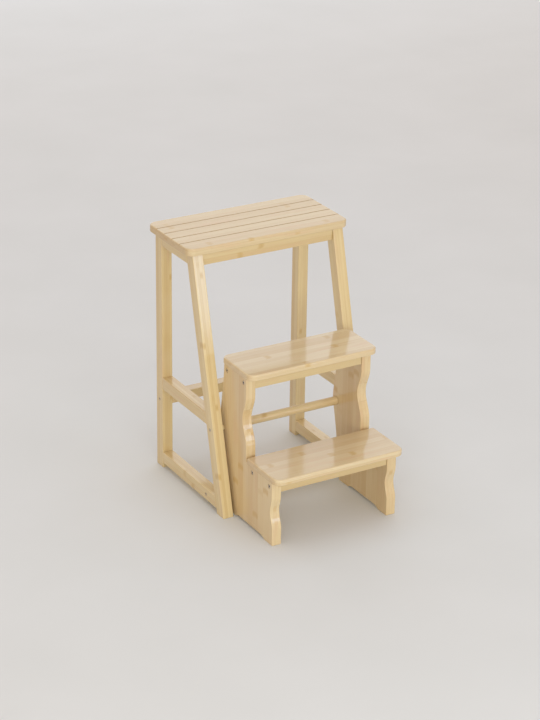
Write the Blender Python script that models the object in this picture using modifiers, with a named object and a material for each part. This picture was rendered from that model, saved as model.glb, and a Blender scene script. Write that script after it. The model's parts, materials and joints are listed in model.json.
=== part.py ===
"""A wooden folding step ladder, opened: a stool on two side frames, and a two-step unit that
turns on a dowel between the front legs and folds up under the seat.

Metres, +Z up. The origin is on the floor under the middle of the opened ladder. The steps
climb from -Y towards +Y, left is -X, and the two sides mirror each other.
"""

import math
from collections import namedtuple

import bmesh
import bpy
from mathutils import Matrix, Vector
from mathutils.geometry import interpolate_bezier

# Whole ladder, opened
HEIGHT = 0.600
DEPTH = 0.522
SEAT_WIDTH = 0.413
FRAME_WIDTH = 0.386

# Seat board
SEAT_DEPTH = 0.199
SEAT_THICKNESS = 0.017
SEAT_CORNER = 0.020
GROOVE_WIDTH = 0.002
GROOVE_DEPTH = 0.002
GROOVE_PITCH = 0.0361
GROOVES = 4
APRON_DEPTH = 0.020
APRON_HEIGHT = 0.0275
FRONT_APRON_RECESS = 0.0045
REAR_APRON_RECESS = 0.003

# Side frames, all cut from one width of stock
STOCK_WIDTH = 0.026
LEG_DEPTH = 0.030
REAR_LEG_INSET = 0.015
FRONT_TOE_Y = -0.077
FRONT_HEAD_Y = 0.0693
TOP_RAIL_HEIGHT = 0.0267
MIDDLE_RAIL_Z = (0.202, 0.231)
LOWER_RAIL_Z = (0.012, 0.040)

# Cross rails and pivot
CROSS_RAIL_DEPTH = 0.026
CROSS_RAIL_HEIGHT = 0.024
REAR_RAIL_CENTRE = (0.2304, 0.172)
LOWER_RAIL_CENTRE = (0.0058, 0.0263)
PIVOT_Z = 0.195
DOWEL_RADIUS = 0.010
JOURNAL_RADIUS = 0.007

# Step unit
TREAD_WIDTH = 0.331
TREAD_DEPTH = 0.132
TREAD_THICKNESS = 0.014
TREAD_CORNER = 0.020
TREAD_TOPS = {"lower": 0.170, "upper": 0.370}
TREAD_RUN = 0.120
STEP_RAIL_DEPTH = 0.021
STEP_RAIL_HEIGHT = 0.030
STEP_RAIL_Y = {
    "upper": {"front": -0.1040, "rear": -0.0298},
    "lower": {"front": -0.2212, "rear": -0.1464},
}
PANEL_OUTER = 0.1603
PANEL_THICKNESS = 0.0235

# Step panel outline, as (y, z)
PANEL_TOP_FRONT_Y = -0.1165
PANEL_RISER_Y = -0.1195
PANEL_NOSE_Y = -0.2340
PANEL_TOE_Y = -0.2370
UPPER_SCOOP_Z = (0.310, 0.190)
UPPER_SCOOP_DEPTH = 0.017
LOWER_SCOOP_Z = (0.118, 0.040)
LOWER_SCOOP_DEPTH = 0.0085
FOOT_ARCH_Y = (-0.202, -0.074)
FOOT_ARCH_RISE = 0.006
FOOT_ARCH_EASE = 0.014
PANEL_REAR = (
    (-0.0350, 0.000),
    (-0.0173, 0.108),
    (-0.0060, 0.160),
    (0.0022, 0.199),
    (-0.0026, 0.240),
    (-0.0133, 0.311),
    (-0.0169, 0.3555),
)
CURVE_STEPS = 5
SCOOP_STEPS = 12

# Fit and finish
GAP = 0.0003
EDGE = 0.0015
BOARD_EDGE = 0.003
EDGE_SEGMENTS = 2
CORNER_SEGMENTS = 6
EDGE_ANGLE = math.radians(40)
FLAT_ANGLE = math.radians(0.5)
WELD = 0.00001
OVERSHOOT = 0.002

# Fasteners: diameters and lengths
Screw = namedtuple("Screw", "head shank length")
PANEL_SCREW = Screw(head=0.009, shank=0.005, length=0.045)
FRAME_SCREW = Screw(head=0.007, shank=0.0045, length=0.050)
BOARD_SCREW = Screw(head=0.008, shank=0.004, length=0.034)
HEAD_DEPTH = 0.003
TIP_LENGTH = 0.003
BOARD_SCREW_SINK = 0.004
SCREW_STEPS = 12
SEAT_SCREW_X = 0.110
TREAD_SCREW_X = 0.090
PIN_DIAMETER = 0.008
PIN_LENGTH = 0.028
PIN_SEGMENTS = 12
PIVOT_STEPS = 32

# Places worked out from the sizes above
SIDES = (("left", -1), ("right", 1))
BACK_Y = DEPTH / 2
SEAT_FRONT_Y = BACK_Y - SEAT_DEPTH
SEAT_UNDER = HEIGHT - SEAT_THICKNESS
FRAME_OUTER = FRAME_WIDTH / 2
FRAME_INNER = FRAME_OUTER - STOCK_WIDTH
FRAME_MIDDLE = FRAME_OUTER - STOCK_WIDTH / 2
REAR_LEG_BACK = BACK_Y - REAR_LEG_INSET
REAR_LEG_FRONT = REAR_LEG_BACK - LEG_DEPTH
LEAN = (FRONT_HEAD_Y - FRONT_TOE_Y) / SEAT_UNDER
LEG_RUN = LEG_DEPTH * math.hypot(1.0, LEAN)
PIVOT_Y = FRONT_TOE_Y + LEAN * PIVOT_Z + LEG_RUN / 2
PANEL_INNER = PANEL_OUTER - PANEL_THICKNESS

# Turns the XY plane of a flat outline into the YZ plane
UPRIGHT = Matrix(((0, 0, 1, 0), (1, 0, 0, 0), (0, 1, 0, 0), (0, 0, 0, 1)))


def clear_scene():
    for obj in list(bpy.data.objects):
        bpy.data.objects.remove(obj)


def new_collection(name, parent, cutters=False):
    collection = bpy.data.collections.new(name)
    collection.hide_render = cutters
    parent.children.link(collection)
    return collection


def new_material(name, color, roughness, metallic=0.0):
    material = bpy.data.materials.new(name)
    material.use_nodes = True
    material.diffuse_color = (*color, 1.0)
    shader = material.node_tree.nodes["Principled BSDF"]
    shader.inputs["Base Color"].default_value = (*color, 1.0)
    shader.inputs["Roughness"].default_value = roughness
    shader.inputs["Metallic"].default_value = metallic
    return material


def leg_front(z):
    """Y of the front leg's front face at a height."""
    return FRONT_TOE_Y + LEAN * z


def leg_back(z):
    return leg_front(z) + LEG_RUN


def both(sign, inner, outer):
    """The X range between two distances from the middle, on one side."""
    return tuple(sorted((sign * inner, sign * outer)))


def middle(span):
    return (span[0] + span[1]) / 2


class Ladder:
    """Holds the collections, the materials and the hinge that the pieces share."""

    def __init__(self):
        root = bpy.context.scene.collection
        self.pieces = new_collection("step_ladder", root)
        self.cutters = new_collection("cutters", root, cutters=True)
        self.bores = new_collection("fastener_bores", self.cutters, cutters=True)
        self.grooves = new_collection("seat_grooves", self.cutters, cutters=True)
        self.pivot_bores = new_collection("pivot_bores", self.cutters, cutters=True)
        self.board_wood = new_material("bamboo_board", (0.66, 0.50, 0.31), 0.42)
        self.frame_wood = new_material("bamboo_frame", (0.60, 0.42, 0.23), 0.45)
        self.panel_wood = new_material("bamboo_panel", (0.58, 0.40, 0.22), 0.45)
        self.pin_wood = new_material("dowel_wood", (0.62, 0.46, 0.28), 0.60)
        self.steel = new_material("screw_steel", (0.42, 0.41, 0.39), 0.35, metallic=1.0)
        self.hinge = bpy.data.objects.new("steps_hinge", None)
        self.hinge.location = (0.0, PIVOT_Y, PIVOT_Z)
        self.hinge.empty_display_size = STOCK_WIDTH
        self.pieces.objects.link(self.hinge)

    def add(self, name, mesh, material, matrix, swings=False):
        """A named piece; one that swings hangs on the hinge."""
        piece = bpy.data.objects.new(name, mesh)
        mesh.materials.append(material)
        self.pieces.objects.link(piece)
        if swings:
            piece.parent = self.hinge
            piece.matrix_parent_inverse = Matrix.Translation(-self.hinge.location)
        piece.matrix_world = matrix
        piece.matrix_basis = matrix
        return piece

    def add_cutter(self, name, mesh, matrix, collection):
        cutter = bpy.data.objects.new(name, mesh)
        cutter.display_type = "WIRE"
        cutter.hide_render = True
        collection.objects.link(cutter)
        cutter.matrix_basis = matrix
        return cutter


def soften(piece, width=EDGE):
    """Rounds the sharp edges of a piece."""
    bevel = piece.modifiers.new("soft_edges", "BEVEL")
    bevel.width = width
    bevel.segments = EDGE_SEGMENTS
    bevel.limit_method = "ANGLE"
    bevel.angle_limit = EDGE_ANGLE


def cut(piece, collection):
    """Takes every shape of a collection out of a piece."""
    boolean = piece.modifiers.new("cut_" + collection.name, "BOOLEAN")
    boolean.operation = "DIFFERENCE"
    boolean.solver = "EXACT"
    boolean.operand_type = "COLLECTION"
    boolean.collection = collection


def box_mesh(name, size, corner=0.0, square_rear=False, lean=0.0, lean_front_only=False):
    """A box about its own middle, with rounded upright corners or leaning back as it rises."""
    shape = bmesh.new()
    bmesh.ops.create_cube(shape, size=1.0, matrix=Matrix.Diagonal((*size, 1.0)))
    if corner:
        uprights = [edge for edge in shape.edges if edge.verts[0].co.z * edge.verts[1].co.z < 0]
        if square_rear:
            uprights = [edge for edge in uprights if edge.verts[0].co.y < 0]
        bmesh.ops.bevel(
            shape, geom=uprights, offset=corner, segments=CORNER_SEGMENTS, profile=0.5, affect="EDGES"
        )
    for vertex in shape.verts:
        if vertex.co.y < 0 or not lean_front_only:
            vertex.co.y += lean * vertex.co.z
    mesh = bpy.data.meshes.new(name)
    shape.to_mesh(mesh)
    shape.free()
    return mesh


def add_board(ladder, name, x, y, z, material, swings=False, edge=EDGE, **form):
    """A board that fills three ranges, with soft edges and the bores of its fasteners."""
    size = (x[1] - x[0], y[1] - y[0], z[1] - z[0])
    mesh = box_mesh(name, size, **form)
    place = Matrix.Translation((middle(x), middle(y), middle(z)))
    piece = ladder.add(name, mesh, material, place, swings)
    soften(piece, edge)
    cut(piece, ladder.bores)
    return piece


def rod_mesh(name, diameter, length, segments):
    """A round rod along Z about its own middle."""
    shape = bmesh.new()
    bmesh.ops.create_cone(
        shape, cap_ends=True, segments=segments, radius1=diameter / 2, radius2=diameter / 2, depth=length
    )
    mesh = bpy.data.meshes.new(name)
    shape.to_mesh(mesh)
    shape.free()
    mesh.shade_smooth()
    mesh.set_sharp_from_angle(angle=EDGE_ANGLE)
    return mesh


def along(direction):
    """Turns the Z axis to a direction."""
    return Vector(direction).to_track_quat("Z", "Y").to_matrix().to_4x4()


def profile_mesh(name, profile):
    """An open line of (radius, z) points, for a Screw modifier to turn."""
    mesh = bpy.data.meshes.new(name)
    points = [(radius, 0.0, z) for radius, z in profile]
    edges = [(index, index + 1) for index in range(len(points) - 1)]
    mesh.from_pydata(points, edges, [])
    return mesh


def turn(obj, steps):
    """Turns an object's profile about its Z axis."""
    screw = obj.modifiers.new("turned", "SCREW")
    screw.steps = steps
    screw.render_steps = steps
    screw.use_merge_vertices = True
    screw.merge_threshold = WELD


def add_screw(ladder, name, kind, point, driven, sink=0.0, swings=False):
    """A countersunk screw, its head at a surface point or sunk below it, and the bore around it."""
    head = kind.head / 2
    shank = kind.shank / 2
    outline = (
        (0.0, 0.0),
        (head, 0.0),
        (shank, -HEAD_DEPTH),
        (shank, TIP_LENGTH - kind.length),
        (0.0, -kind.length),
    )
    bore = (
        (0.0, sink + OVERSHOOT),
        (head + GAP, sink + OVERSHOOT),
        (head + GAP, -GAP),
        (shank + GAP, -HEAD_DEPTH - GAP),
        (shank + GAP, -kind.length - GAP),
        (0.0, -kind.length - GAP),
    )
    driven = Vector(driven)
    place = Matrix.Translation(Vector(point) + driven * (sink + GAP)) @ along(-driven)
    screw = ladder.add(name, profile_mesh(name, outline), ladder.steel, place, swings)
    turn(screw, SCREW_STEPS)
    cutter = ladder.add_cutter(name + "_bore", profile_mesh(name + "_bore", bore), place, ladder.bores)
    turn(cutter, SCREW_STEPS)


def add_pin(ladder, name, point):
    """A plain dowel pin along Y across a joint, and its blind bore."""
    place = Matrix.Translation(point) @ along((0.0, 1.0, 0.0))
    pin = rod_mesh(name, PIN_DIAMETER, PIN_LENGTH, PIN_SEGMENTS)
    ladder.add(name, pin, ladder.pin_wood, place)
    bore = rod_mesh(name + "_bore", PIN_DIAMETER + 2 * GAP, PIN_LENGTH + 2 * GAP, PIN_SEGMENTS)
    ladder.add_cutter(name + "_bore", bore, place, ladder.bores)


def add_seat(ladder):
    x = (-SEAT_WIDTH / 2, SEAT_WIDTH / 2)
    y = (SEAT_FRONT_Y, BACK_Y)
    z = (SEAT_UNDER, HEIGHT)
    form = {"edge": BOARD_EDGE, "corner": SEAT_CORNER}
    seat = add_board(ladder, "seat_board", x, y, z, ladder.board_wood, **form)
    size = (SEAT_WIDTH + OVERSHOOT, GROOVE_WIDTH, 2 * GROOVE_DEPTH)
    for index in range(GROOVES):
        offset = (index - (GROOVES - 1) / 2) * GROOVE_PITCH
        name = f"seat_groove_{index + 1}"
        place = Matrix.Translation((0.0, middle(y) + offset, HEIGHT))
        ladder.add_cutter(name, box_mesh(name, size), place, ladder.grooves)
    cut(seat, ladder.grooves)


def add_aprons(ladder):
    """The two cross boards under the seat, upright and a little inside the legs."""
    x = (GAP - FRAME_INNER, FRAME_INNER - GAP)
    z = (SEAT_UNDER - APRON_HEIGHT, SEAT_UNDER - GAP)
    front = leg_front(middle(z)) + FRONT_APRON_RECESS
    rear = REAR_LEG_BACK - REAR_APRON_RECESS - APRON_DEPTH
    wood = ladder.frame_wood
    add_board(ladder, "seat_front_apron", x, (front, front + APRON_DEPTH), z, wood)
    add_board(ladder, "seat_rear_apron", x, (rear, rear + APRON_DEPTH), z, wood)
    for end, y in (("front", front), ("rear", rear)):
        for side, sign in SIDES:
            point = (sign * SEAT_SCREW_X, y + APRON_DEPTH / 2, z[0])
            name = f"{side}_{end}_apron_screw"
            add_screw(ladder, name, BOARD_SCREW, point, (0, 0, 1), BOARD_SCREW_SINK)


def add_side_frame(ladder, side, sign):
    """Two legs, three rails between them, and a pin in each end of each rail."""
    wood = ladder.frame_wood
    x = both(sign, FRAME_INNER, FRAME_OUTER)
    leg_z = (0.0, SEAT_UNDER - GAP)
    front = leg_front(middle(leg_z))
    add_board(ladder, side + "_front_leg", x, (front, front + LEG_RUN), leg_z, wood, lean=LEAN)
    add_board(ladder, side + "_rear_leg", x, (REAR_LEG_FRONT, REAR_LEG_BACK), leg_z, wood)
    rails = {
        "top": (SEAT_UNDER - TOP_RAIL_HEIGHT, SEAT_UNDER - GAP),
        "middle": MIDDLE_RAIL_Z,
        "lower": LOWER_RAIL_Z,
    }
    for level, z in rails.items():
        name = f"{side}_{level}_rail"
        start = leg_back(middle(z))
        y = (start + GAP, REAR_LEG_FRONT - GAP)
        add_board(ladder, name, x, y, z, wood, lean=LEAN, lean_front_only=True)
        add_pin(ladder, name + "_front_pin", (middle(x), start, middle(z)))
        add_pin(ladder, name + "_rear_pin", (middle(x), REAR_LEG_FRONT, middle(z)))
    seat_point = (middle(x), (leg_back(SEAT_UNDER) + REAR_LEG_FRONT) / 2, rails["top"][0])
    add_screw(ladder, side + "_seat_screw", BOARD_SCREW, seat_point, (0, 0, 1), BOARD_SCREW_SINK)


def add_cross_rails(ladder):
    """The rail between the rear legs, and the low one that also stops the folded steps."""
    x = (GAP - FRAME_INNER, FRAME_INNER - GAP)
    for level, centre in (("rear", REAR_RAIL_CENTRE), ("lower", LOWER_RAIL_CENTRE)):
        y = (centre[0] - CROSS_RAIL_DEPTH / 2, centre[0] + CROSS_RAIL_DEPTH / 2)
        z = (centre[1] - CROSS_RAIL_HEIGHT / 2, centre[1] + CROSS_RAIL_HEIGHT / 2)
        add_board(ladder, level + "_cross_rail", x, y, z, ladder.frame_wood)
        for side, sign in SIDES:
            point = (sign * FRAME_OUTER, *centre)
            add_screw(ladder, f"{side}_{level}_cross_screw", FRAME_SCREW, point, (-sign, 0, 0))


def add_pivot(ladder):
    """The dowel between the step panels, which turn on its narrower ends; it is screwed to the legs."""
    place = Matrix.Translation((0.0, PIVOT_Y, PIVOT_Z)) @ along((1.0, 0.0, 0.0))
    end = FRAME_INNER - GAP
    shoulder = PANEL_INNER - GAP
    half = ((0.0, end), (JOURNAL_RADIUS, end), (JOURNAL_RADIUS, shoulder), (DOWEL_RADIUS, shoulder))
    outline = half + tuple((radius, -z) for radius, z in reversed(half))
    dowel = ladder.add("pivot_dowel", profile_mesh("pivot_dowel", outline), ladder.frame_wood, place)
    turn(dowel, PIVOT_STEPS)
    cut(dowel, ladder.bores)
    bore_length = 2 * (PANEL_OUTER + OVERSHOOT)
    bore = rod_mesh("pivot_bore", 2 * (JOURNAL_RADIUS + GAP), bore_length, PIVOT_STEPS)
    ladder.add_cutter("pivot_bore", bore, place, ladder.pivot_bores)
    for side, sign in SIDES:
        point = (sign * FRAME_OUTER, PIVOT_Y, PIVOT_Z)
        add_screw(ladder, side + "_pivot_screw", FRAME_SCREW, point, (-sign, 0, 0))


def scoop(front_y, z, depth):
    """A hollow down an edge that leaves it and returns to it smoothly, from top to bottom."""
    for step in range(SCOOP_STEPS + 1):
        part = step / SCOOP_STEPS
        y = front_y[0] + (front_y[1] - front_y[0]) * part
        yield (y + depth * math.sin(math.pi * part) ** 2, z[0] + (z[1] - z[0]) * part)


def foot_arch():
    """The low relief between a panel's two feet, from the front foot to the rear one."""
    start, end = FOOT_ARCH_Y
    yield (start, 0.0)
    yield (start + FOOT_ARCH_EASE, FOOT_ARCH_RISE)
    yield (end - FOOT_ARCH_EASE, FOOT_ARCH_RISE)
    yield (end, 0.0)


def flow(points):
    """A smooth line through a few points."""
    points = [Vector(point) for point in points]
    padded = [points[0], *points, points[-1]]
    line = []
    for before, start, end, after in zip(padded, padded[1:], padded[2:], padded[3:]):
        leave = start + (end - before) / 6
        arrive = end - (after - start) / 6
        line += interpolate_bezier(start, leave, arrive, end, CURVE_STEPS)[:-1]
    return [tuple(point)[:2] for point in line + [points[-1].to_3d()]]


def panel_outline():
    """The side panel, anticlockwise seen from +X with Y to the right."""
    upper_under = TREAD_TOPS["upper"] - TREAD_THICKNESS - GAP
    lower_under = TREAD_TOPS["lower"] - TREAD_THICKNESS - GAP
    return [
        (PANEL_TOP_FRONT_Y, upper_under),
        *scoop((PANEL_TOP_FRONT_Y, PANEL_RISER_Y), UPPER_SCOOP_Z, UPPER_SCOOP_DEPTH),
        (PANEL_RISER_Y, lower_under),
        (PANEL_NOSE_Y, lower_under),
        *scoop((PANEL_NOSE_Y, PANEL_TOE_Y), LOWER_SCOOP_Z, LOWER_SCOOP_DEPTH),
        (PANEL_TOE_Y, 0.0),
        *foot_arch(),
        *flow(PANEL_REAR[:-1] + ((PANEL_REAR[-1][0], upper_under),)),
    ]


def plate_mesh(name, outline, thickness):
    """A flat outline made a plate about its own middle plane."""
    curve = bpy.data.curves.new(name + "_outline", "CURVE")
    curve.dimensions = "2D"
    curve.fill_mode = "BOTH"
    curve.extrude = thickness / 2
    spline = curve.splines.new("POLY")
    spline.points.add(len(outline) - 1)
    for point, (y, z) in zip(spline.points, outline):
        point.co = (y, z, 0.0, 1.0)
    spline.use_cyclic_u = True
    guide = bpy.data.objects.new(name + "_outline", curve)
    bpy.context.scene.collection.objects.link(guide)
    graph = bpy.context.evaluated_depsgraph_get()
    mesh = bpy.data.meshes.new_from_object(guide.evaluated_get(graph))
    bpy.data.objects.remove(guide)
    shape = bmesh.new()
    shape.from_mesh(mesh)
    bmesh.ops.remove_doubles(shape, verts=shape.verts, dist=WELD)
    bmesh.ops.dissolve_limit(shape, angle_limit=FLAT_ANGLE, verts=shape.verts, edges=shape.edges)
    bmesh.ops.recalc_face_normals(shape, faces=shape.faces)
    shape.to_mesh(mesh)
    shape.free()
    return mesh


def add_step_panels(ladder):
    """The side panels of the step unit, with screws into the ends of the four rails."""
    outline = panel_outline()
    for side, sign in SIDES:
        name = side + "_step_panel"
        mesh = plate_mesh(name, outline, PANEL_THICKNESS)
        place = Matrix.Translation((sign * (PANEL_INNER + PANEL_OUTER) / 2, 0.0, 0.0)) @ UPRIGHT
        panel = ladder.add(name, mesh, ladder.panel_wood, place, swings=True)
        soften(panel)
        cut(panel, ladder.bores)
        cut(panel, ladder.pivot_bores)
        for level, rails in STEP_RAIL_Y.items():
            for end, y in rails.items():
                point = (sign * PANEL_OUTER, y, middle(step_rail_z(level)))
                screw = f"{side}_{level}_{end}_panel_screw"
                add_screw(ladder, screw, PANEL_SCREW, point, (-sign, 0, 0), swings=True)


def step_rail_z(level):
    top = TREAD_TOPS[level] - TREAD_THICKNESS - GAP
    return (top - STEP_RAIL_HEIGHT, top)


def add_treads(ladder):
    """Each tread, the two rails under it, and two screws up through its front rail.

    The lower tread butts on the side panels, so its rear corners are square.
    """
    tread_x = (-TREAD_WIDTH / 2, TREAD_WIDTH / 2)
    rail_x = (GAP - PANEL_INNER, PANEL_INNER - GAP)
    fronts = {"lower": -DEPTH / 2, "upper": TREAD_RUN - DEPTH / 2}
    for level, front in fronts.items():
        top = TREAD_TOPS[level]
        y = (front, front + TREAD_DEPTH)
        z = (top - TREAD_THICKNESS, top)
        name = level + "_tread"
        form = {"edge": BOARD_EDGE, "corner": TREAD_CORNER, "square_rear": level == "lower"}
        add_board(ladder, name, tread_x, y, z, ladder.board_wood, swings=True, **form)
        rail_z = step_rail_z(level)
        for end, centre in STEP_RAIL_Y[level].items():
            rail_y = (centre - STEP_RAIL_DEPTH / 2, centre + STEP_RAIL_DEPTH / 2)
            rail = f"{level}_{end}_rail"
            add_board(ladder, rail, rail_x, rail_y, rail_z, ladder.frame_wood, swings=True)
        for side, sign in SIDES:
            point = (sign * TREAD_SCREW_X, STEP_RAIL_Y[level]["front"], rail_z[0])
            screw = f"{side}_{level}_tread_screw"
            add_screw(ladder, screw, BOARD_SCREW, point, (0, 0, 1), BOARD_SCREW_SINK, swings=True)


def build():
    clear_scene()
    ladder = Ladder()
    add_seat(ladder)
    add_aprons(ladder)
    for side, sign in SIDES:
        add_side_frame(ladder, side, sign)
    add_cross_rails(ladder)
    add_pivot(ladder)
    add_step_panels(ladder)
    add_treads(ladder)


build()
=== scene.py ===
"""The looks of a folding bamboo step ladder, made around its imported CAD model.

Every CAD node is made again at full finish in the space that it holds: round edges, smooth
curves, grooves with soft lips, socket screws in their bores, and laminated bamboo whose grain
runs along each piece. Metres, +Z up; left is -X and the steps climb towards +Y.
"""

import json
import math
import random
from collections import namedtuple

import bmesh
import bpy
import numpy as np
from mathutils import Matrix, Vector
from mathutils.geometry import interpolate_bezier

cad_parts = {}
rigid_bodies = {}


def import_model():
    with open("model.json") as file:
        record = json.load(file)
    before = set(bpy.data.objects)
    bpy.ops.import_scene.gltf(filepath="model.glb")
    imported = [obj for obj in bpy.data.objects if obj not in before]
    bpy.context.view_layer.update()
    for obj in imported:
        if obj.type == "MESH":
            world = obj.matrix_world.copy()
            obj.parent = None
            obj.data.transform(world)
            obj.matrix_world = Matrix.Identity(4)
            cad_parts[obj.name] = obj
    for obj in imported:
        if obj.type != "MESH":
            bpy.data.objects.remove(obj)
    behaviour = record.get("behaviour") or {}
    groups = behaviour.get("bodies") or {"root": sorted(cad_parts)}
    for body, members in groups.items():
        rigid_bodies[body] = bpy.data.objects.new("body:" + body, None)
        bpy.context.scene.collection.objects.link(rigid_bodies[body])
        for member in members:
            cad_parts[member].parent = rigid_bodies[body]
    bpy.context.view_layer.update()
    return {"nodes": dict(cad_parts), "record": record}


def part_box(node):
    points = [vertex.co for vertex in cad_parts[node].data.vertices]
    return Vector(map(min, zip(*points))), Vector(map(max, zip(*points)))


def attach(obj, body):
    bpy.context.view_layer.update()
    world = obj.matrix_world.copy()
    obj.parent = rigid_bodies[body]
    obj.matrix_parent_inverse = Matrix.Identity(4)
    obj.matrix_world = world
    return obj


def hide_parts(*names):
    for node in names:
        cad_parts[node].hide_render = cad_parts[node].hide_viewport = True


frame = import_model()

X, Y, Z = Vector((1, 0, 0)), Vector((0, 1, 0)), Vector((0, 0, 1))
SIDES = (("left", -1), ("right", 1))
LEVELS = ("upper", "lower")
ENDS = ("front", "rear")

# The leaning front legs
TOE_Y = -0.077
LEAN = 0.1463 / 0.583
LEG_DEPTH = 0.030
LEG_RUN = LEG_DEPTH * math.hypot(1.0, LEAN)

# Boards
SEAT_CORNER = 0.020
TREAD_CORNER = 0.020
SQUARE_CORNER = 0.0055
TOP_RIM = 0.0040
UNDER_RIM = 0.0020
GROOVES = 4
GROOVE_PITCH = 0.0361
GROOVE_WIDTH = 0.002
GROOVE_DEPTH = 0.002
GROOVE_LIP = 0.0004
LIP_STEPS = 5
SEAT_PLY = 0.0057
TREAD_PLY = 0.0070

# Step panel outline, as (y, z)
PANEL_TOP_FRONT_Y = -0.1165
PANEL_RISER_Y = -0.1195
PANEL_NOSE_Y = -0.2340
PANEL_TOE_Y = -0.2370
UPPER_SCOOP_Z = (0.310, 0.190)
UPPER_SCOOP_DEPTH = 0.017
LOWER_SCOOP_Z = (0.118, 0.040)
LOWER_SCOOP_DEPTH = 0.0085
FOOT_ARCH_Y = (-0.202, -0.074)
FOOT_ARCH_RISE = 0.006
FOOT_ARCH_EASE = 0.014
FOOT_ARCH_KNEE = 0.62
PANEL_REAR = (
    (-0.0350, 0.000),
    (-0.0173, 0.108),
    (-0.0060, 0.160),
    (0.0022, 0.199),
    (-0.0026, 0.240),
    (-0.0133, 0.311),
    (-0.0169, 0.3555),
)
PANEL_STRIP = 0.0210
PANEL_PLY = 0.0078
CURVE_STEPS = 14
SCOOP_STEPS = 40

# Finish
GAP = 0.0003
EDGE = 0.0014
EDGE_SEGMENTS = 5
CORNER_SEGMENTS = 14
EDGE_ANGLE = math.radians(40)
SHARP_ANGLE = math.radians(35)
FLAT_ANGLE = math.radians(0.05)
WELD = 0.00001
REACH = 0.004
ROUND_STEPS = 48
WEAR_ANGLE = math.radians(16)

# Pivot dowel
DOWEL_RADIUS = 0.010
JOURNAL_RADIUS = 0.007
DOWEL_CHAMFER = 0.0008
CHAMFER_BREAK = 0.3

# Fasteners: diameters, the hex socket across its flats and its depth
Screw = namedtuple("Screw", "head shank socket socket_depth")
SCREWS = {
    "panel_screw": Screw(0.0090, 0.0050, 0.0040, 0.0022),
    "cross_screw": Screw(0.0070, 0.0045, 0.0030, 0.0020),
    "pivot_screw": Screw(0.0070, 0.0045, 0.0030, 0.0020),
    "apron_screw": Screw(0.0080, 0.0040, 0.0035, 0.0020),
    "seat_screw": Screw(0.0080, 0.0040, 0.0035, 0.0020),
    "tread_screw": Screw(0.0080, 0.0040, 0.0035, 0.0020),
}
DRIVEN_UP = ("apron_screw", "seat_screw", "tread_screw")
HEAD_SINK = 0.004
HEAD_DEPTH = 0.003
HEAD_RIM = 0.0004
TIP_LENGTH = 0.003
THREAD_START = 0.40
THREAD_PITCH = 0.0020
THREAD_FLANK = 0.35
THREAD_DEPTH = 0.0006
SCREW_STEPS = 32
SCREW_EDGE = 0.00012
SCREW_EDGE_SEGMENTS = 2
PIN_RADIUS = 0.004
PIN_CHAMFER = 0.0008
PIN_FLUTES = 16
PIN_FLUTE_DEPTH = 0.0003

# Lamination: nominal widths of a bamboo strip and of a ply, and how far the nodes are apart
STRIP = 0.017
PLY = 0.0065
CELL_SPARE = 0.02
FIRST_CELLS = (20, 400)
GRAIN_START = (1.0, 9.0)
NODE_PITCH = 0.30
NODE_BOW = 0.009
NODE_WOBBLE = 0.007
NOISE_SHIFT = 40.0

# Marks along the grain: width and length
FIBRES = (0.0005, 0.060)
STREAKS = (0.0025, 0.160)
CLOUDS = (0.0220, 0.120)

# How strongly each mark shows
STREAK_TONE = 1.05
FIBRE_TONE = 0.65
SHADES = (-0.55, 0.65)
BLUSHES = (0.52, 0.74)
BLUSH_MIX = 0.45
NODES_SHOWN = (0.38, 0.72)
HALO_EDGE = (0.0025, 0.0105)
HALO_MIX = 0.62
RIDGE_EDGE = (0.0003, 0.0016)
RIDGE_MIX = 0.10
JOINT_WIDTH = 0.00032
JOINT_CORE = 0.2
JOINT_MIX = 0.22
PORE_SCALE = 34.0
PORES_SHOWN = (0.40, 0.62)
END_GRAIN = (0.70, 0.95)
END_MIX = 0.50
WEAR_PATCHES = (0.35, 0.65)
WEAR_MIX = 0.12
# Painted shade: how strongly the cut faces of grooves and bores are darkened
RECESS_SHADE_MIX = 0.48
RIDGE_COLOR = (0.36, 0.19, 0.07)
JOINT_COLOR = (0.36, 0.22, 0.10)
PORE_COLOR = (0.42, 0.26, 0.12)
WEAR_COLOR = (0.80, 0.66, 0.45)
# Painted shade: the dark brown painted on the cut faces of grooves and bores, for the shade in
# them
RECESS_SHADE_COLOR = (0.34, 0.18, 0.08)

# Roughness of the wood, and what adds to it
WOOD_ROUGH = 0.36
FIBRE_ROUGH = 0.16
END_ROUGH = 0.15
WEAR_ROUGH = 0.10
RAW_ROUGH = 0.25

# Relief of the wood, and its lacquer
FIBRE_RELIEF = 0.25
JOINT_RELIEF = 0.5
HALO_RELIEF = 0.35
PORE_RELIEF = 0.4
WOOD_BUMP = {"Strength": 0.22, "Distance": 0.0005}
WOOD_SPECULAR = 0.30
COAT_ROUGH = 0.10
COAT_IOR = 1.5

# Zinc-plated steel
RING_PITCH = 0.00035
RING_RELIEF = 0.3
BLOTCH_SCALE = 900.0
BLOTCHES = (0.35, 0.70)
SCRATCH_SCALE = 6000.0
SCRATCH_STRETCH = (1.0, 1.0, 0.1)
STEEL_LIGHT = (0.66, 0.58, 0.49)
STEEL_DULL = (0.48, 0.42, 0.35)
# Painted shade: the near-black painted into the hex sockets, and how much of it
STEEL_SOCKET_SHADE = (0.11, 0.10, 0.09)
SOCKET_SHADE_MIX = 0.6
STEEL_ROUGH = 0.24
SCRATCH_ROUGH = 0.22
STEEL_BUMP = {"Strength": 0.25, "Distance": 0.00005}

# Turns the XY plane of a flat outline into the YZ plane
UPRIGHT = Matrix(((0, 0, 1, 0), (1, 0, 0, 0), (0, 1, 0, 0), (0, 0, 0, 1)))

BODY_OF = {
    node: body for body, nodes in frame["record"]["behaviour"]["bodies"].items() for node in nodes
}


# ---------------------------------------------------------------- materials


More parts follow.
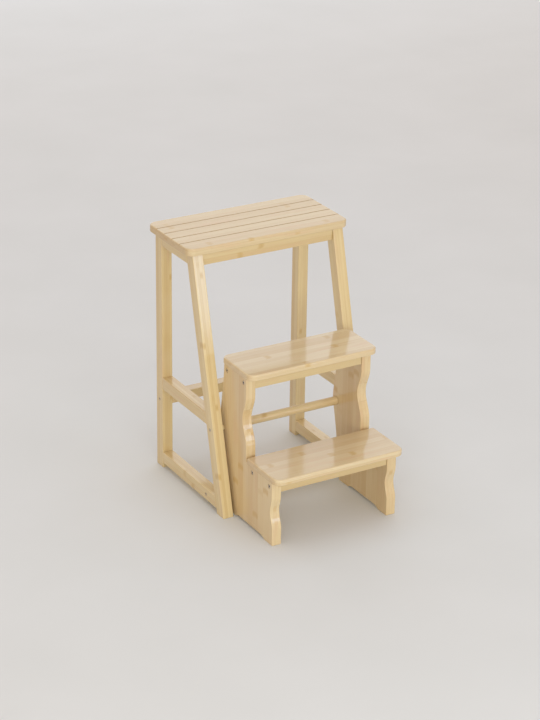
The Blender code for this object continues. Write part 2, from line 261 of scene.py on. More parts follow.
class Tree:
    """A material's node tree, with short ways to add to it."""

    def __init__(self, name):
        self.material = bpy.data.materials.new(name)
        self.material.use_nodes = True
        self.nodes = self.material.node_tree.nodes
        self.links = self.material.node_tree.links
        self.shader = self.nodes["Principled BSDF"]

    def feed(self, socket, value):
        """Links an output to an input, or sets a plain value on it."""
        if isinstance(value, bpy.types.NodeSocket):
            self.links.new(value, socket)
        else:
            socket.default_value = value

    def add(self, kind, inputs, **settings):
        node = self.nodes.new("ShaderNode" + kind)
        for setting, value in settings.items():
            setattr(node, setting, value)
        for name, value in inputs.items():
            self.feed(node.inputs[name], value)
        return node

    def math(self, operation, first, second=0.0, third=0.0):
        inputs = {0: first, 1: second, 2: third}
        return self.add("Math", inputs, operation=operation).outputs[0]

    def vector(self, operation, first, second):
        return self.add("VectorMath", {0: first, 1: second}, operation=operation).outputs[0]

    def split(self, vector):
        return self.add("SeparateXYZ", {0: vector}).outputs

    def join(self, x, y, z):
        return self.add("CombineXYZ", {0: x, 1: y, 2: z}).outputs[0]

    def noise(self, vector, scale=1.0, detail=2.0, roughness=0.5):
        inputs = {"Vector": vector, "Scale": scale, "Detail": detail, "Roughness": roughness}
        return self.add("TexNoise", inputs).outputs[0]

    def step(self, value, start, end, rising=True):
        """A smooth step from 0 to 1 between two values, or from 1 to 0."""
        levels = (0.0, 1.0) if rising else (1.0, 0.0)
        inputs = {0: value, 1: start, 2: end, 3: levels[0], 4: levels[1]}
        return self.add("MapRange", inputs, interpolation_type="SMOOTHSTEP").outputs[0]

    def mix(self, factor, first, second, blend="MIX"):
        inputs = {0: factor, 6: rgba(first), 7: rgba(second)}
        return self.add("Mix", inputs, data_type="RGBA", blend_type=blend).outputs[2]

    def attribute(self, name, output):
        return self.add("Attribute", {}, attribute_name=name).outputs[output]


def rgba(color):
    return (*color, 1.0) if isinstance(color, tuple) else color


class Lamina:
    """The laminated structure of a bamboo piece, as sockets that its material reads."""

    def __init__(self, tree):
        self.tree = tree
        across, through, along = tree.split(tree.attribute("lamina", "Vector"))
        self.across, self.through, self.along = across, through, along
        cell = tree.vector("FLOOR", tree.join(across, through, 0.0), (0.0, 0.0, 0.0))
        lot = tree.add("TexWhiteNoise", {0: cell}, noise_dimensions="3D").outputs["Color"]
        self.tone, self.phase, self.showing = tree.split(lot)
        self.shift = tree.vector("SCALE", lot, (0.0, 0.0, 0.0))
        self.shift.node.inputs["Scale"].default_value = NOISE_SHIFT

    def streaks(self, width, length, detail=2.0, roughness=0.5):
        """Noise drawn out along the grain, of a width and a length, different in each strip."""
        tree = self.tree
        place = tree.join(
            tree.math("MULTIPLY", self.across, STRIP / width),
            tree.math("MULTIPLY", self.through, PLY / width),
            tree.math("MULTIPLY", self.along, 1.0 / length),
        )
        return tree.noise(tree.vector("ADD", place, self.shift), 1.0, detail, roughness)

    def joint_lines(self, width):
        """1 on the glue lines between strips and plies, 0 elsewhere."""
        tree = self.tree
        lines = []
        for place, size in ((self.across, STRIP), (self.through, PLY)):
            part = tree.math("FRACT", place)
            from_joint = tree.math("MINIMUM", part, tree.math("SUBTRACT", 1.0, part))
            core, edge = JOINT_CORE * width / size, width / size
            lines.append(tree.step(from_joint, core, edge, rising=False))
        return tree.math("MAXIMUM", *lines)

    def node_distance(self, wobble):
        """Distance along the strip from its nearest node mark, bent a little across the strip."""
        tree = self.tree
        turns = tree.math("ADD", tree.math("MULTIPLY", self.along, 1.0 / NODE_PITCH), self.phase)
        place = tree.math("SUBTRACT", tree.math("FRACT", turns), 0.5)
        distance = tree.math("MULTIPLY", place, NODE_PITCH)
        from_middle = tree.math("SUBTRACT", tree.math("FRACT", self.across), 0.5)
        bow = tree.math("MULTIPLY", tree.math("MULTIPLY", from_middle, from_middle), NODE_BOW)
        uneven = tree.math("MULTIPLY", tree.math("SUBTRACT", wobble, 0.5), NODE_WOBBLE)
        return tree.math("ADD", tree.math("ADD", distance, bow), uneven)


# Each wood's colours, how far its strips differ, and the weight of its lacquer
Bamboo = namedtuple("Bamboo", "pale deep amber blush tone coat")
WOODS = {
    "seat_wood": Bamboo(
        pale=(0.72, 0.59, 0.36), deep=(0.62, 0.46, 0.25),
        amber=(0.62, 0.41, 0.15), blush=(0.70, 0.48, 0.29),
        tone=0.60, coat=0.75,
    ),
    "tread_wood": Bamboo(
        pale=(0.77, 0.65, 0.42), deep=(0.66, 0.50, 0.28),
        amber=(0.61, 0.40, 0.13), blush=(0.70, 0.47, 0.28),
        tone=0.70, coat=1.00,
    ),
    "frame_wood": Bamboo(
        pale=(0.75, 0.61, 0.335), deep=(0.64, 0.47, 0.22),
        amber=(0.59, 0.39, 0.13), blush=(0.68, 0.47, 0.26),
        tone=0.55, coat=1.00,
    ),
    "panel_wood": Bamboo(
        pale=(0.75, 0.60, 0.35), deep=(0.64, 0.45, 0.22),
        amber=(0.59, 0.37, 0.12), blush=(0.68, 0.45, 0.26),
        tone=0.85, coat=1.00,
    ),
    "dowel_wood": Bamboo(
        pale=(0.75, 0.61, 0.36), deep=(0.65, 0.48, 0.24),
        amber=(0.56, 0.35, 0.12), blush=(0.68, 0.47, 0.26),
        tone=0.40, coat=0.60,
    ),
    "pin_wood": Bamboo(
        pale=(0.74, 0.58, 0.38), deep=(0.66, 0.49, 0.29),
        amber=(0.60, 0.41, 0.20), blush=(0.68, 0.48, 0.30),
        tone=0.30, coat=0.05,
    ),
}


def bamboo(slot):
    """Laminated bamboo under clear satin lacquer: strips, fibres, node marks, end grain, and
    painted shade in grooves and bores.
    """
    wood = WOODS[slot]
    tree = Tree(slot)
    lamina = Lamina(tree)
    fibres = lamina.streaks(*FIBRES, detail=3.0, roughness=0.6)
    streaks = lamina.streaks(*STREAKS)
    clouds = lamina.streaks(*CLOUDS)

    strip_tone = tree.math("MULTIPLY", tree.math("SUBTRACT", lamina.tone, 0.5), wood.tone)
    streak_tone = tree.math("MULTIPLY", tree.math("SUBTRACT", streaks, 0.5), STREAK_TONE)
    fibre_tone = tree.math("MULTIPLY", tree.math("SUBTRACT", fibres, 0.5), FIBRE_TONE)
    shade = tree.math("ADD", tree.math("ADD", strip_tone, streak_tone), fibre_tone)
    color = tree.mix(tree.step(shade, *SHADES), wood.pale, wood.deep)
    blushed = tree.math("MULTIPLY", tree.step(clouds, *BLUSHES), BLUSH_MIX)
    color = tree.mix(blushed, color, wood.blush)

    distance = tree.math("ABSOLUTE", lamina.node_distance(streaks))
    shown = tree.step(lamina.showing, *NODES_SHOWN)
    halo = tree.math("MULTIPLY", tree.step(distance, *HALO_EDGE, rising=False), shown)
    ridge = tree.math("MULTIPLY", tree.step(distance, *RIDGE_EDGE, rising=False), shown)
    color = tree.mix(tree.math("MULTIPLY", halo, HALO_MIX), color, wood.amber)
    color = tree.mix(tree.math("MULTIPLY", ridge, RIDGE_MIX), color, RIDGE_COLOR)

    joints = lamina.joint_lines(JOINT_WIDTH)
    color = tree.mix(tree.math("MULTIPLY", joints, JOINT_MIX), color, JOINT_COLOR)

    pores = tree.noise(tree.join(lamina.across, lamina.through, 0.0), PORE_SCALE, 3.0, 0.6)
    end = tree.step(tree.attribute("end_grain", "Fac"), *END_GRAIN)
    end_color = tree.mix(tree.step(pores, *PORES_SHOWN), wood.deep, PORE_COLOR)
    color = tree.mix(tree.math("MULTIPLY", end, END_MIX), color, end_color)

    patches = tree.step(streaks, *WEAR_PATCHES)
    worn = tree.math("MULTIPLY", tree.attribute("edge_wear", "Fac"), patches)
    color = tree.mix(tree.math("MULTIPLY", worn, WEAR_MIX), color, WEAR_COLOR)
    # Painted shade: faces left by grooves and bores are darkened, standing in for the shade in
    # these recesses; as unlacquered wood they are also rougher
    cut_faces = tree.attribute("cut_face", "Fac")
    color = tree.mix(tree.math("MULTIPLY", cut_faces, RECESS_SHADE_MIX), color, RECESS_SHADE_COLOR)

    rough = tree.math("MULTIPLY_ADD", fibres, FIBRE_ROUGH, WOOD_ROUGH)
    rough = tree.math("ADD", rough, tree.math("MULTIPLY", end, END_ROUGH))
    rough = tree.math("ADD", rough, tree.math("MULTIPLY", worn, WEAR_ROUGH))
    rough = tree.math("ADD", rough, tree.math("MULTIPLY", cut_faces, RAW_ROUGH))

    height = tree.math("MULTIPLY", fibres, FIBRE_RELIEF)
    height = tree.math("SUBTRACT", height, tree.math("MULTIPLY", joints, JOINT_RELIEF))
    height = tree.math("ADD", height, tree.math("MULTIPLY", halo, HALO_RELIEF))
    pitted = tree.math("MULTIPLY", tree.math("MULTIPLY", pores, end), PORE_RELIEF)
    height = tree.math("SUBTRACT", height, pitted)
    bump = tree.add("Bump", {**WOOD_BUMP, "Height": height})

    shader = tree.shader.inputs
    tree.feed(shader["Base Color"], color)
    tree.feed(shader["Roughness"], rough)
    tree.feed(shader["Normal"], bump.outputs[0])
    shader["Specular IOR Level"].default_value = WOOD_SPECULAR
    shader["Coat Weight"].default_value = wood.coat
    shader["Coat Roughness"].default_value = COAT_ROUGH
    shader["Coat IOR"].default_value = COAT_IOR
    return tree.material


def screw_steel():
    """Dull zinc-plated steel with turning rings on the heads, and painted shade in the hex
    sockets.
    """
    tree = Tree("screw_steel")
    place = tree.add("TexCoord", {}).outputs["Object"]
    x, y, _ = tree.split(place)
    across = tree.math("SQRT", tree.math("MULTIPLY_ADD", x, x, tree.math("MULTIPLY", y, y)))
    rings = tree.math("SINE", tree.math("MULTIPLY", across, 2 * math.pi / RING_PITCH))
    blotches = tree.noise(place, BLOTCH_SCALE, 3.0, 0.6)
    scratches = tree.noise(tree.vector("MULTIPLY", place, SCRATCH_STRETCH), SCRATCH_SCALE, 2.0)
    color = tree.mix(tree.step(blotches, *BLOTCHES), STEEL_LIGHT, STEEL_DULL)
    # Painted shade: the faces of the hex socket are darkened, standing in for the shade inside it
    sunk = tree.math("MULTIPLY", tree.attribute("cut_face", "Fac"), SOCKET_SHADE_MIX)
    color = tree.mix(sunk, color, STEEL_SOCKET_SHADE)
    rough = tree.math("MULTIPLY_ADD", scratches, SCRATCH_ROUGH, STEEL_ROUGH)
    height = tree.math("ADD", tree.math("MULTIPLY", rings, RING_RELIEF), scratches)
    bump = tree.add("Bump", {**STEEL_BUMP, "Height": height})
    shader = tree.shader.inputs
    tree.feed(shader["Base Color"], color)
    tree.feed(shader["Roughness"], rough)
    tree.feed(shader["Normal"], bump.outputs[0])
    shader["Metallic"].default_value = 1.0
    return tree.material


MATERIALS = {slot: bamboo(slot) for slot in WOODS}
MATERIALS["screw_steel"] = screw_steel()
WHOLE = bpy.data.materials.new("whole")
CUT = bpy.data.materials.new("cut")


# ---------------------------------------------------------------- shapes


def new_object(name, mesh, matrix=None):
    obj = bpy.data.objects.new(name, mesh)
    bpy.context.scene.collection.objects.link(obj)
    obj.matrix_world = matrix or Matrix.Identity(4)
    return obj


def mesh_of(shape, name):
    mesh = bpy.data.meshes.new(name)
    shape.to_mesh(mesh)
    shape.free()
    return mesh


def apply_modifiers(obj):
    graph = bpy.context.evaluated_depsgraph_get()
    mesh = bpy.data.meshes.new_from_object(obj.evaluated_get(graph))
    obj.modifiers.clear()
    obj.data = mesh


def along(direction):
    """Turns the Z axis to a direction."""
    return Vector(direction).to_track_quat("Z", "Y").to_matrix().to_4x4()


def middle(low, high):
    return (low + high) / 2


def bevel(shape, edges, width, segments):
    bmesh.ops.bevel(
        shape, geom=edges, offset=width, segments=segments, profile=0.5, affect="EDGES"
    )


def box_mesh(name, size, corner=0.0, square_rear=False, lean=0.0, lean_front_only=False):
    """A box about its own middle, with rounded corners and rims or leaning back as it rises."""
    shape = bmesh.new()
    bmesh.ops.create_cube(shape, size=1.0, matrix=Matrix.Diagonal((*size, 1.0)))
    if corner:
        uprights = [edge for edge in shape.edges if edge.verts[0].co.z * edge.verts[1].co.z < 0]
        rear = [edge for edge in uprights if edge.verts[0].co.y > 0]
        front = [edge for edge in uprights if edge.verts[0].co.y < 0]
        bevel(shape, rear, SQUARE_CORNER if square_rear else corner, CORNER_SEGMENTS)
        bevel(shape, [edge for edge in front if edge.is_valid], corner, CORNER_SEGMENTS)
        for side, width in ((1, TOP_RIM), (-1, UNDER_RIM)):
            rim = [
                edge for edge in shape.edges
                if all(vertex.co.z * side > 0.0 for vertex in edge.verts)
            ]
            bevel(shape, rim, width, EDGE_SEGMENTS)
    for vertex in shape.verts:
        if vertex.co.y < 0 or not lean_front_only:
            vertex.co.y += lean * vertex.co.z
    return mesh_of(shape, name)


def profile_mesh(name, profile):
    """An open line of (radius, z) points, for a Screw modifier to turn."""
    mesh = bpy.data.meshes.new(name)
    points = [(radius, 0.0, z) for radius, z in profile]
    mesh.from_pydata(points, [(index, index + 1) for index in range(len(points) - 1)], [])
    return mesh


def turned(name, profile, matrix, steps=ROUND_STEPS):
    """A solid turned from a profile about its Z axis."""
    obj = new_object(name, profile_mesh(name, profile), matrix)
    screw = obj.modifiers.new("turned", "SCREW")
    screw.steps = steps
    screw.render_steps = steps
    screw.use_merge_vertices = True
    screw.merge_threshold = WELD
    apply_modifiers(obj)
    return obj


def soften(obj, width=EDGE, segments=EDGE_SEGMENTS):
    bevel = obj.modifiers.new("soft_edges", "BEVEL")
    bevel.width = width
    bevel.segments = segments
    bevel.limit_method = "ANGLE"
    bevel.angle_limit = EDGE_ANGLE


def shade(mesh):
    mesh.shade_smooth()
    mesh.set_sharp_from_angle(angle=SHARP_ANGLE)


def weight_normals(obj):
    """Keeps flat faces flat where they meet a rounded edge."""
    weighted = obj.modifiers.new("flat_faces", "WEIGHTED_NORMAL")
    weighted.keep_sharp = True
    weighted.weight = 100


def world_box(obj):
    corners = [obj.matrix_world @ Vector(corner) for corner in obj.bound_box]
    low = Vector(min(corner[axis] for corner in corners) for axis in range(3))
    high = Vector(max(corner[axis] for corner in corners) for axis in range(3))
    return low, high


def cut(obj, cutters):
    """Takes the cutters that reach an object out of it, and marks the faces that they leave."""
    bpy.context.view_layer.update()
    obj.data.materials.append(WHOLE)
    low, high = world_box(obj)
    near = bpy.data.collections.new("cutters_of_" + obj.name)
    for cutter in cutters:
        cutter_low, cutter_high = world_box(cutter)
        spans = zip(cutter_low, cutter_high, low, high)
        if all(start < top and end > bottom for start, end, bottom, top in spans):
            near.objects.link(cutter)
            if not cutter.data.materials:
                cutter.data.materials.append(CUT)
    if near.objects:
        boolean = obj.modifiers.new("bores", "BOOLEAN")
        boolean.operand_type = "COLLECTION"
        boolean.collection = near
        boolean.material_mode = "TRANSFER"
    apply_modifiers(obj)
    bpy.data.collections.remove(near)
    # Marks the faces left by the cutters: the materials paint shade on them, and make cut wood
    # rougher
    cut_faces = obj.data.attributes.new("cut_face", "FLOAT", "FACE")
    cut_faces.data.foreach_set("value", [float(face.material_index > 0) for face in obj.data.polygons])
    obj.data.polygons.foreach_set("material_index", [0] * len(obj.data.polygons))


# ---------------------------------------------------------------- wooden pieces


def cells(place, width, fixed=False):
    """Places across a piece in strips of about a width, or of just that width from its middle."""
    extent = np.ptp(place)
    count = max(1, round(extent / width))
    cell = width if fixed else extent * (1 + CELL_SPARE) / count
    shift = 0.0 if fixed or count % 2 == 0 else 0.5
    return (place - (place.min() + place.max()) / 2) / cell + shift


def store(mesh, name, kind, values):
    layer = mesh.attributes.new(name, kind, "POINT")
    field = "vector" if kind == "FLOAT_VECTOR" else "value"
    layer.data.foreach_set(field, np.ascontiguousarray(values, np.float32).ravel())


def mark_grain(mesh, node, grain, stack, strip, ply, fixed=False):
    """Writes where each point lies in the lamination, and what is end grain or an edge."""
    points = np.empty(len(mesh.vertices) * 3, np.float32)
    mesh.vertices.foreach_get("co", points)
    points = points.reshape(-1, 3)
    dice = random.Random(node)
    across = np.array(stack.cross(grain))
    lamina = np.empty_like(points)
    lamina[:, 0] = cells(points @ across, strip, fixed) + dice.randrange(*FIRST_CELLS)
    lamina[:, 1] = cells(points @ np.array(stack), ply) + dice.randrange(*FIRST_CELLS)
    lamina[:, 2] = points @ np.array(grain) + dice.uniform(*GRAIN_START)
    shape = bmesh.new()
    shape.from_mesh(mesh)
    end_grain = []
    wear = []
    for vertex in shape.verts:
        largest = max(vertex.link_faces, key=lambda face: face.calc_area())
        end_grain.append(abs(largest.normal.dot(grain)))
        turn = max(edge.calc_face_angle(0.0) for edge in vertex.link_edges)
        wear.append(min(1.0, turn / WEAR_ANGLE))
    shape.free()
    store(mesh, "lamina", "FLOAT_VECTOR", lamina)
    store(mesh, "end_grain", "FLOAT", end_grain)
    store(mesh, "edge_wear", "FLOAT", wear)


def finish_wood(obj, node, slot, grain, stack, bores, strip=STRIP, ply=PLY, fixed=False):
    """Cuts a piece's bores, marks its grain, and puts it in its CAD node's place."""
    cut(obj, bores)
    obj.data.transform(obj.matrix_world)
    obj.matrix_world = Matrix.Identity(4)
    mark_grain(obj.data, node, grain.normalized(), stack, strip, ply, fixed)
    shade(obj.data)
    weight_normals(obj)
    stand_for(obj, node, slot)


def stand_for(obj, node, slot):
    obj.data.materials.clear()
    obj.data.materials.append(MATERIALS[slot])
    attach(obj, BODY_OF[node])
    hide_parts(node)


def board(node, slot, grain, stack, bores, y=None, extra=(), corner=0.0, **form):
    """A board in the box of its CAD node; a leaning one is given its Y range at middle height."""
    low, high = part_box(node)
    y = y or (low.y, high.y)
    lamination = {key: form.pop(key) for key in ("strip", "ply", "fixed") if key in form}
    size = (high.x - low.x, y[1] - y[0], high.z - low.z)
    place = Matrix.Translation((middle(low.x, high.x), middle(*y), middle(low.z, high.z)))
    obj = new_object("fine_" + node, box_mesh(node, size, corner=corner, **form), place)
    if not corner:
        soften(obj)
    finish_wood(obj, node, slot, grain, stack, [*bores, *extra], **lamination)
    return obj


def leg_front(z):
    return TOE_Y + LEAN * z


def add_seat(bores):
    low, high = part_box("seat_board")
    grooves = []
    lip, half = GROOVE_LIP, GROOVE_WIDTH / 2
    outline = [(half + lip, REACH)]
    for step in range(LIP_STEPS + 1):
        angle = step / LIP_STEPS * math.pi / 2
        outline.append((half + lip - lip * math.sin(angle), lip * math.cos(angle) - lip))
    for step in range(1, LIP_STEPS + 1):
        angle = step / LIP_STEPS * math.pi / 2
        outline.append((half * math.cos(angle), half - GROOVE_DEPTH - half * math.sin(angle)))
    full = outline + [(-y, z) for y, z in reversed(outline[:-1])]
    for index in range(GROOVES):
        offset = (index - (GROOVES - 1) / 2) * GROOVE_PITCH
        place = Matrix.Translation((0.0, middle(low.y, high.y) + offset, high.z)) @ UPRIGHT
        length = high.x - low.x + REACH
        grooves.append(new_object(f"groove_{index}", plate_mesh("groove", full, length), place))
    board(
        "seat_board", "seat_wood", X, Z, bores, extra=grooves, corner=SEAT_CORNER,
        strip=GROOVE_PITCH / 2, ply=SEAT_PLY, fixed=True,
    )
    return grooves


def add_stool(bores):
    """The aprons, the legs and the rails."""
    for end in ENDS:
        board(f"seat_{end}_apron", "frame_wood", X, Y, bores)
    leaning = Vector((0.0, LEAN, 1.0))
    for side, _ in SIDES:
        low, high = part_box(side + "_front_leg")
        front = leg_front(middle(low.z, high.z))
        run = (front, front + LEG_RUN)
        board(side + "_front_leg", "frame_wood", leaning, X, bores, y=run, lean=LEAN)
        board(side + "_rear_leg", "frame_wood", Z, X, bores)
        for level in ("top", "middle", "lower"):
            node = f"{side}_{level}_rail"
            low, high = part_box(node)
            start = leg_front(middle(low.z, high.z)) + LEG_RUN + GAP
            form = {"y": (start, high.y), "lean": LEAN, "lean_front_only": True}
            board(node, "frame_wood", Y, X, bores, **form)
    for level in ("rear", "lower"):
        board(level + "_cross_rail", "frame_wood", X, Y, bores)


def add_dowel(bores):
    low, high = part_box("pivot_dowel")
    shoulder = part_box("right_step_panel")[0].x - GAP
    chamfer = DOWEL_CHAMFER
    half = (
        (0.0, high.x),
        (JOURNAL_RADIUS - chamfer, high.x),
        (JOURNAL_RADIUS, high.x - chamfer),
        (JOURNAL_RADIUS, shoulder),
        (DOWEL_RADIUS - chamfer, shoulder),
        (DOWEL_RADIUS - CHAMFER_BREAK * chamfer, shoulder - CHAMFER_BREAK * chamfer),
        (DOWEL_RADIUS, shoulder - chamfer),
    )
    outline = half + tuple((radius, -x) for radius, x in reversed(half))
    centre = (0.0, middle(low.y, high.y), middle(low.z, high.z))
    dowel = turned("fine_pivot_dowel", outline, Matrix.Translation(centre) @ along(X))
    finish_wood(dowel, "pivot_dowel", "dowel_wood", X, Z, bores)


def scoop(front_y, z, depth):
    """A hollow down an edge that leaves it and returns to it smoothly, from top to bottom."""
    for step in range(SCOOP_STEPS + 1):
        part = step / SCOOP_STEPS
        y = front_y[0] + (front_y[1] - front_y[0]) * part
        yield (y + depth * math.sin(math.pi * part) ** 2, z[0] + (z[1] - z[0]) * part)


def flow(points):
    """A smooth line through a few points."""
    points = [Vector(point).to_3d() for point in points]
    padded = [points[0], *points, points[-1]]
    line = []
    for before, start, end, after in zip(padded, padded[1:], padded[2:], padded[3:]):
        leave = start + (end - before) / 6
        arrive = end - (after - start) / 6
        line += interpolate_bezier(start, leave, arrive, end, CURVE_STEPS)[:-1]
    return [tuple(point)[:2] for point in [*line, points[-1]]]


def panel_outline(top, lower_top):
    """The side panel, anticlockwise seen from +X with Y to the right."""
    start, end = FOOT_ARCH_Y
    arch = [
        (start, 0.0),
        (start + FOOT_ARCH_EASE / 2, FOOT_ARCH_RISE * FOOT_ARCH_KNEE),
        (start + FOOT_ARCH_EASE, FOOT_ARCH_RISE),
        (end - FOOT_ARCH_EASE, FOOT_ARCH_RISE),
        (end - FOOT_ARCH_EASE / 2, FOOT_ARCH_RISE * FOOT_ARCH_KNEE),
        (end, 0.0),
    ]
    return [
        (PANEL_TOP_FRONT_Y, top),
        *scoop((PANEL_TOP_FRONT_Y, PANEL_RISER_Y), UPPER_SCOOP_Z, UPPER_SCOOP_DEPTH),
        (PANEL_RISER_Y, lower_top),
        (PANEL_NOSE_Y, lower_top),
        *scoop((PANEL_NOSE_Y, PANEL_TOE_Y), LOWER_SCOOP_Z, LOWER_SCOOP_DEPTH),
        (PANEL_TOE_Y, 0.0),
        *arch,
        *flow(PANEL_REAR[:-1] + ((PANEL_REAR[-1][0], top),)),
    ]


def plate_mesh(name, outline, thickness):
    """A flat outline made a plate about its own middle plane."""
    shape = bmesh.new()
    points = [shape.verts.new((y, z, -thickness / 2)) for y, z in outline]
    face = shape.faces.new(points)
    made = bmesh.ops.extrude_face_region(shape, geom=[face])["geom"]
    moved = [part for part in made if isinstance(part, bmesh.types.BMVert)]
    bmesh.ops.translate(shape, verts=moved, vec=(0.0, 0.0, thickness))
    bmesh.ops.dissolve_limit(shape, angle_limit=FLAT_ANGLE, verts=shape.verts, edges=shape.edges)
    bmesh.ops.recalc_face_normals(shape, faces=shape.faces)
    return mesh_of(shape, name)


def add_panels(bores):
    """The side panels of the step unit, with the plain bores that they turn on the dowel by."""
    dowel_low, dowel_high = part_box("pivot_dowel")
    centre = (0.0, middle(dowel_low.y, dowel_high.y), middle(dowel_low.z, dowel_high.z))
    reach = dowel_high.x
    radius = JOURNAL_RADIUS + GAP
    outline = ((0.0, reach), (radius, reach), (radius, -reach), (0.0, -reach))
    pivot_bore = turned("pivot_bore", outline, Matrix.Translation(centre) @ along(X))
    lower_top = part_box("lower_tread")[0].z - GAP
    for side, _ in SIDES:
        node = side + "_step_panel"
        low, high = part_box(node)
        mesh = plate_mesh(node, panel_outline(high.z, lower_top), high.x - low.x)
        place = Matrix.Translation((middle(low.x, high.x), 0.0, 0.0)) @ UPRIGHT
        panel = new_object("fine_" + node, mesh, place)
        soften(panel)
        cutters = [*bores, pivot_bore]
        finish_wood(panel, node, "panel_wood", Z, X, cutters, strip=PANEL_STRIP, ply=PANEL_PLY)
    bpy.data.objects.remove(pivot_bore)


def add_steps(bores):
    """The treads and the rails under them."""
    for level in LEVELS:
        form = {"corner": TREAD_CORNER, "square_rear": level == "lower"}
        board(level + "_tread", "tread_wood", X, Z, bores, ply=TREAD_PLY, **form)
        for end in ENDS:
            board(f"{level}_{end}_rail", "frame_wood", X, Y, bores)


# ---------------------------------------------------------------- fasteners


def thread(shank, start, end):
    """The ridges of a wood screw's thread down its shank, as a profile."""
    ridge = start - THREAD_PITCH
    while ridge > end + THREAD_PITCH:
        yield (shank - THREAD_DEPTH, ridge + THREAD_FLANK * THREAD_PITCH)
        yield (shank, ridge)
        yield (shank - THREAD_DEPTH, ridge - THREAD_FLANK * THREAD_PITCH)
        ridge -= THREAD_PITCH


def screw_mesh(name, kind, length):
    """A countersunk socket screw that points down from its head at Z 0."""
    head, shank = kind.head / 2, kind.shank / 2
    threaded_from = -THREAD_START * length
    outline = [
        (0.0, 0.0),
        (head - 1.5 * HEAD_RIM, 0.0),
        (head - 0.4 * HEAD_RIM, -0.3 * HEAD_RIM),
        (head, -HEAD_RIM),
        (head - 0.3 * HEAD_RIM, -1.6 * HEAD_RIM),
        (shank, -HEAD_DEPTH),
        (shank, threaded_from),
        *thread(shank, threaded_from, TIP_LENGTH - length),
        (shank - THREAD_DEPTH, TIP_LENGTH - length),
        (0.0, -length),
    ]
    screw = turned(name, outline, Matrix.Identity(4), SCREW_STEPS)
    shape = bmesh.new()
    radius = kind.socket / 2 / math.cos(math.pi / 6)
    depth = 2 * kind.socket_depth
    bmesh.ops.create_cone(
        shape, cap_ends=True, segments=6, radius1=radius, radius2=radius, depth=depth
    )
    socket = new_object(name + "_socket", mesh_of(shape, name + "_socket"))
    cut(screw, [socket])
    soften(screw, SCREW_EDGE, SCREW_EDGE_SEGMENTS)
    apply_modifiers(screw)
    shade(screw.data)
    mesh = screw.data
    mesh.name = name
    bpy.data.objects.remove(socket)
    bpy.data.objects.remove(screw)
    return mesh


def screw_bore(name, kind, length, place, sunk):
    """The countersunk bore that a screw sits in, with a small chamfer at its mouth."""
    head, shank = kind.head / 2 + GAP, kind.shank / 2 + GAP
    outline = (
        (0.0, sunk + REACH),
        (head + REACH, sunk + REACH),
        (head, sunk),
        (head, -GAP - HEAD_RIM),
        (shank, -HEAD_DEPTH - GAP),
        (shank, -length - GAP),
        (0.0, -length - GAP),
    )
    return turned(name + "_bore", outline, place, SCREW_STEPS)


def add_screws():
    """Every screw in the place of its CAD node; it returns the bores that they need."""
    bores = []
    meshes = {}
    for node in sorted(frame["nodes"]):
        name = next((kind for kind in SCREWS if node.endswith(kind)), None)
        if name is None:
            continue
        kind = SCREWS[name]
        low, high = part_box(node)
        centre = middle(low, high)
        if name in DRIVEN_UP:
            driven, length = Z, high.z - low.z
            head = Vector((centre.x, centre.y, low.z))
            sunk = HEAD_SINK
        else:
            driven, length = (X if centre.x < 0 else -X), high.x - low.x
            head = centre - driven * length / 2
            sunk = GAP / 2
        if name not in meshes:
            meshes[name] = screw_mesh(name, kind, length)
        turn = Matrix.Rotation(random.Random(node).uniform(0.0, math.tau), 4, "Z")
        place = Matrix.Translation(head) @ along(-driven)
        screw = new_object("fine_" + node, meshes[name], place @ turn)
        stand_for(screw, node, "screw_steel")
        bores.append(screw_bore(node, kind, length, place, sunk))
    return bores


def add_pins():
    """The fluted dowel pins inside the side frames; it returns their bores."""
    bores = []
    for node in sorted(frame["nodes"]):
        if not node.endswith("_pin"):
            continue
        low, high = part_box(node)
        length = high.y - low.y
        half = length / 2
        place = Matrix.Translation(middle(low, high)) @ along(Y)
        outline = (
            (0.0, half),
            (PIN_RADIUS - PIN_CHAMFER, half),
            (PIN_RADIUS, half - PIN_CHAMFER),
            (PIN_RADIUS, PIN_CHAMFER - half),
            (PIN_RADIUS - PIN_CHAMFER, -half),
            (0.0, -half),
        )
        pin = turned("fine_" + node, outline, place, 2 * PIN_FLUTES)
        for vertex in pin.data.vertices:
            turns = math.atan2(vertex.co.y, vertex.co.x) / math.tau * PIN_FLUTES
            flute = PIN_FLUTE_DEPTH * (1 + math.cos(math.tau * turns)) / 2
            across = math.hypot(vertex.co.x, vertex.co.y)
            if across > PIN_RADIUS / 2:
                vertex.co.x *= 1 - flute / across
                vertex.co.y *= 1 - flute / across
        finish_wood(pin, node, "pin_wood", Y, X, [])
        radius = PIN_RADIUS + GAP
        hole = ((0.0, half + GAP), (radius, half + GAP), (radius, -half - GAP), (0.0, -half - GAP))
        bores.append(turned(node + "_bore", hole, place, 2 * PIN_FLUTES))
    return bores


# ---------------------------------------------------------------- stage, light and camera

FLOOR_SIZE = 30.0
FLOOR_COLORS = ((0.71, 0.74, 0.76), (0.77, 0.80, 0.83))
FLOOR_ROUGH = 0.9
FLOOR_SPECULAR = 0.2
MOTTLE_SCALE = 3.0
CAMERA_PLACE = (-2.3122, -3.8891, 2.3408)
CAMERA_YAW = math.radians(30.37)
CAMERA_PITCH = math.radians(-24.07)
CAMERA_ROLL = math.radians(0.85)
CAMERA_LENS = 110.1
SKY_COLOR = (1.0, 0.81, 0.68)
SKY_STRENGTH = 0.67
CENTRE = (0.0, 0.0, 0.3)

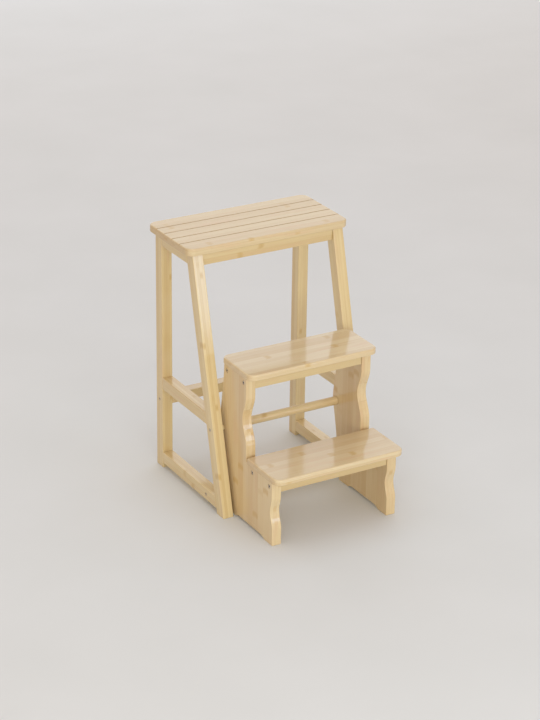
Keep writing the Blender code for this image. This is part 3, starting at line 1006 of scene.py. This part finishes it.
# Soft boxes: place, what they face, width and height, watts and colour
SoftBox = namedtuple("SoftBox", "place target size power color")
SOFT_BOXES = {
    "front": SoftBox((-1.4, -3.6, 1.2), CENTRE, (3.4, 2.2), 68.8, (0.94, 1.0, 0.94)),
    "window": SoftBox((1.45, -3.5, 0.93), CENTRE, (0.9, 0.8), 10.4, (0.46, 0.68, 1.0)),
    "top": SoftBox((0.2, 0.4, 3.4), CENTRE, (3.0, 3.0), 26.0, (0.58, 0.83, 1.0)),
    "curtain": SoftBox((1.5, 5.2, 2.2), (0.0, 0.0, 0.8), (8.0, 4.4), 101.0, (0.75, 0.90, 1.0)),
}


def add_floor():
    shape = bmesh.new()
    bmesh.ops.create_grid(shape, x_segments=1, y_segments=1, size=FLOOR_SIZE / 2)
    floor = new_object("floor", mesh_of(shape, "floor"))
    tree = Tree("floor")
    mottle = tree.noise(tree.add("TexCoord", {}).outputs["Object"], MOTTLE_SCALE, 4.0)
    color = tree.mix(mottle, *FLOOR_COLORS)
    tree.feed(tree.shader.inputs["Base Color"], color)
    tree.shader.inputs["Roughness"].default_value = FLOOR_ROUGH
    tree.shader.inputs["Specular IOR Level"].default_value = FLOOR_SPECULAR
    floor.data.materials.append(tree.material)


def add_light():
    for name, box in SOFT_BOXES.items():
        light = bpy.data.lights.new(name, "AREA")
        light.shape = "RECTANGLE"
        light.size, light.size_y = box.size
        light.energy = box.power
        light.color = box.color
        lamp = bpy.data.objects.new(name, light)
        bpy.context.scene.collection.objects.link(lamp)
        lamp.visible_camera = False
        lamp.location = box.place
        aim = Vector(box.target) - lamp.location
        lamp.rotation_euler = aim.to_track_quat("-Z", "Y").to_euler()
    world = bpy.data.worlds.new("room")
    world.use_nodes = True
    sky = world.node_tree.nodes["Background"]
    sky.inputs["Color"].default_value = rgba(SKY_COLOR)
    sky.inputs["Strength"].default_value = SKY_STRENGTH
    bpy.context.scene.world = world


def add_camera():
    data = bpy.data.cameras.new("camera")
    data.lens = CAMERA_LENS
    camera = bpy.data.objects.new("camera", data)
    bpy.context.scene.collection.objects.link(camera)
    turn = Matrix.Rotation(-CAMERA_YAW, 4, "Z")
    tilt = Matrix.Rotation(math.pi / 2 + CAMERA_PITCH, 4, "X")
    roll = Matrix.Rotation(CAMERA_ROLL, 4, "Z")
    camera.matrix_world = Matrix.Translation(CAMERA_PLACE) @ turn @ tilt @ roll
    bpy.context.scene.camera = camera
    bpy.context.scene.view_settings.view_transform = "Standard"


add_camera()
add_floor()
add_light()
screw_bores = add_screws()
pin_bores = add_pins()
all_bores = [*screw_bores, *pin_bores]
seat_grooves = add_seat(all_bores)
add_stool(all_bores)
add_dowel(all_bores)
add_panels(all_bores)
add_steps(all_bores)
for cutter in [*all_bores, *seat_grooves]:
    bpy.data.objects.remove(cutter)
